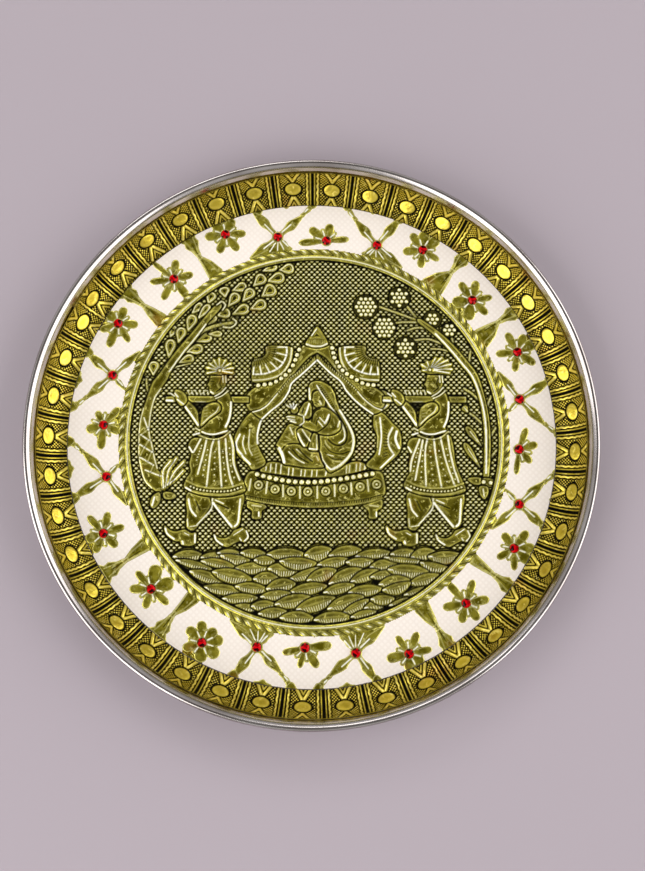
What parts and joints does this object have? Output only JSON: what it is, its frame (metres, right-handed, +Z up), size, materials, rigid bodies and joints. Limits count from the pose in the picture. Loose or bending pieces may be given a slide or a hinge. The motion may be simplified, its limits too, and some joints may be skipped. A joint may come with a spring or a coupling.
{
  "type": "enamelled serving plate",
  "caption": "Round steel tray plate with a rolled rim, a pressed gold disc filled with cream enamel and red stones, and a patterned gold strip round its wall.",
  "frame": {"origin": "centre of the flat underside", "axes": "+Z up out of the dish, +Y towards the top of the pictured scene, +X to the scene's right"},
  "size_m": [0.28, 0.28, 0.02],
  "materials": {
    "polished_steel": "polished, with fine turning marks",
    "pressed_gold_foil": "gold-lacquered pressed foil, black in the recesses",
    "printed_gold_strip": "gold-lacquered foil printed black",
    "cream_enamel": "cold resin enamel, satin",
    "red_glass": "facetted, foil backed",
    "adhesive_film": "clear film"
  },
  "bodies": {
    "root": {"border_strip": "printed_gold_strip", "disc_adhesive": "adhesive_film", "enamel_field_01": "cream_enamel", "enamel_field_02": "cream_enamel", "enamel_field_03": "cream_enamel", "enamel_field_04": "cream_enamel", "enamel_field_05": "cream_enamel", "enamel_field_06": "cream_enamel", "enamel_field_07": "cream_enamel", "enamel_field_08": "cream_enamel", "enamel_field_09": "cream_enamel", "enamel_field_10": "cream_enamel", "enamel_field_11": "cream_enamel", "enamel_field_12": "cream_enamel", "enamel_field_13": "cream_enamel", "enamel_field_14": "cream_enamel", "enamel_field_15": "cream_enamel", "enamel_field_16": "cream_enamel", "enamel_field_17": "cream_enamel", "enamel_field_18": "cream_enamel", "enamel_field_19": "cream_enamel", "enamel_field_20": "cream_enamel", "enamel_field_21": "cream_enamel", "enamel_field_22": "cream_enamel", "enamel_field_23": "cream_enamel", "enamel_field_24": "cream_enamel", "enamel_field_25": "cream_enamel", "enamel_field_26": "cream_enamel", "enamel_field_27": "cream_enamel", "enamel_field_28": "cream_enamel", "enamel_field_29": "cream_enamel", "foil_disc": "pressed_gold_foil", "red_stone_01": "red_glass", "red_stone_02": "red_glass", "red_stone_03": "red_glass", "red_stone_04": "red_glass", "red_stone_05": "red_glass", "red_stone_06": "red_glass", "red_stone_07": "red_glass", "red_stone_08": "red_glass", "red_stone_09": "red_glass", "red_stone_10": "red_glass", "red_stone_11": "red_glass", "red_stone_12": "red_glass", "red_stone_13": "red_glass", "red_stone_14": "red_glass", "red_stone_15": "red_glass", "red_stone_16": "red_glass", "red_stone_17": "red_glass", "red_stone_18": "red_glass", "red_stone_19": "red_glass", "red_stone_20": "red_glass", "red_stone_21": "red_glass", "red_stone_22": "red_glass", "red_stone_23": "red_glass", "red_stone_24": "red_glass", "steel_plate": "polished_steel", "strip_adhesive": "adhesive_film"}
  },
  "joints": []
}
